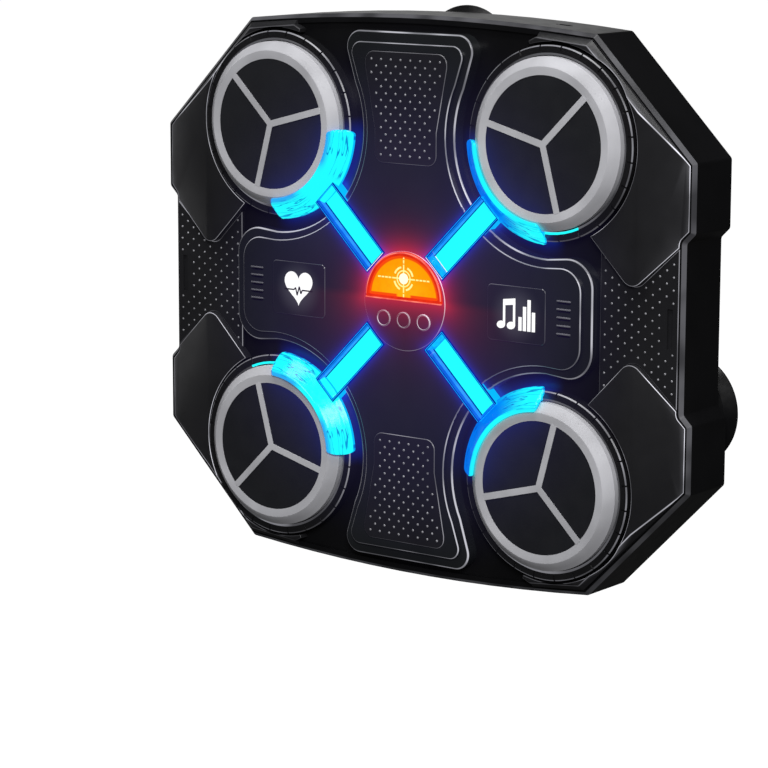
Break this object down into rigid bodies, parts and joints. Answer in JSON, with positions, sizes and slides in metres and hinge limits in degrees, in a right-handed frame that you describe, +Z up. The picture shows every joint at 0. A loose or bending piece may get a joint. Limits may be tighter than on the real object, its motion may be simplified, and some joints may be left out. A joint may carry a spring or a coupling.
{
  "type": "boxing punch machine",
  "caption": "Wall-hung boxing machine: a black octagonal housing with four sprung round targets, light guides, a half-moon lens and push keys, held on suction cups.",
  "frame": {"origin": "centre of the wall plane, where the rims of the suction cups lie, level with the middle of the housing", "axes": "+Z up, the struck face looks along -Y, +Y into the wall, +X to the right as seen from the front"},
  "size_m": [0.341, 0.0614, 0.301],
  "materials": {
    "black_case": "satin black moulded ABS",
    "black_case_rear": "matt black moulded ABS",
    "black_panel": "satin black moulded ABS",
    "black_armour": "satin black moulded ABS",
    "black_grip": "matt black studded ABS",
    "black_tile": "black ABS with a lit white icon",
    "black_button": "black ABS key cap",
    "grey_ring": "light grey moulded ABS",
    "pad_rubber": "matt black rubber-faced pad",
    "foam": "black EVA foam",
    "cyan_guide": "clear acrylic lit cyan",
    "amber_lens": "amber translucent acrylic",
    "red_diffuser": "red translucent acrylic",
    "circuit_board": "green solder mask",
    "battery_wrap": "blue shrink wrap",
    "speaker_cone": "paper cone in a pressed frame",
    "port_steel": "plated shell",
    "screw_steel": "zinc plated",
    "sensor_film": "brass-backed piezo disc",
    "cup_rubber": "black PVC suction cup"
  },
  "bodies": {
    "housing": {"front_shell": "black_case", "rear_shell": "black_case_rear", "cross_panel": "black_panel", "lens_bezel": "black_panel", "lens_rim": "red_diffuser", "target_lens": "amber_lens", "control_board": "circuit_board", "main_board": "circuit_board", "battery_pack": "battery_wrap", "speaker": "speaker_cone", "charge_port": "port_steel", "case_screws": "screw_steel", "stud_insert_top": "black_grip", "stud_insert_bottom": "black_grip", "hit_sensors": "sensor_film", "led_boards": "circuit_board", "waist_panel_left": "black_grip", "icon_tile_left": "black_tile", "waist_panel_right": "black_grip", "icon_tile_right": "black_tile", "suction_cup_top": "cup_rubber", "suction_cup_left": "cup_rubber", "suction_cup_right": "cup_rubber", "armour_top_left": "black_armour", "collar_top_left": "black_armour", "rebound_foam_top_left": "foam", "light_guide_top_left": "cyan_guide", "armour_top_right": "black_armour", "collar_top_right": "black_armour", "rebound_foam_top_right": "foam", "light_guide_top_right": "cyan_guide", "armour_bottom_left": "black_armour", "collar_bottom_left": "black_armour", "rebound_foam_bottom_left": "foam", "light_guide_bottom_left": "cyan_guide", "armour_bottom_right": "black_armour", "collar_bottom_right": "black_armour", "rebound_foam_bottom_right": "foam", "light_guide_bottom_right": "cyan_guide"},
    "target_top_left": {"target_ring_top_left": "grey_ring", "target_pad_top_left": "pad_rubber", "target_carrier_top_left": "black_case_rear"},
    "target_top_right": {"target_ring_top_right": "grey_ring", "target_pad_top_right": "pad_rubber", "target_carrier_top_right": "black_case_rear"},
    "target_bottom_left": {"target_ring_bottom_left": "grey_ring", "target_pad_bottom_left": "pad_rubber", "target_carrier_bottom_left": "black_case_rear"},
    "target_bottom_right": {"target_ring_bottom_right": "grey_ring", "target_pad_bottom_right": "pad_rubber", "target_carrier_bottom_right": "black_case_rear"},
    "key_left": {"button_left": "black_button"},
    "key_middle": {"button_middle": "black_button"},
    "key_right": {"button_right": "black_button"}
  },
  "joints": [
    {"name": "press_top_left", "type": "slide", "parent": "housing", "child": "target_top_left", "axis": [0, 1, 0], "range_m": [0, 0.003], "stiffness_N_per_m": 1500, "springref_m": -0.002, "deforming": ["rebound_foam_top_left"]},
    {"name": "press_top_right", "type": "slide", "parent": "housing", "child": "target_top_right", "axis": [0, 1, 0], "range_m": [0, 0.003], "stiffness_N_per_m": 1500, "springref_m": -0.002, "deforming": ["rebound_foam_top_right"]},
    {"name": "press_bottom_left", "type": "slide", "parent": "housing", "child": "target_bottom_left", "axis": [0, 1, 0], "range_m": [0, 0.003], "stiffness_N_per_m": 1500, "springref_m": -0.002, "deforming": ["rebound_foam_bottom_left"]},
    {"name": "press_bottom_right", "type": "slide", "parent": "housing", "child": "target_bottom_right", "axis": [0, 1, 0], "range_m": [0, 0.003], "stiffness_N_per_m": 1500, "springref_m": -0.002, "deforming": ["rebound_foam_bottom_right"]},
    {"name": "push_left", "type": "slide", "parent": "housing", "child": "key_left", "axis": [0, 1, 0], "range_m": [0, 0.0007], "stiffness_N_per_m": 400, "springref_m": -0.001},
    {"name": "push_middle", "type": "slide", "parent": "housing", "child": "key_middle", "axis": [0, 1, 0], "range_m": [0, 0.0007], "stiffness_N_per_m": 400, "springref_m": -0.001},
    {"name": "push_right", "type": "slide", "parent": "housing", "child": "key_right", "axis": [0, 1, 0], "range_m": [0, 0.0007], "stiffness_N_per_m": 400, "springref_m": -0.001}
  ]
}
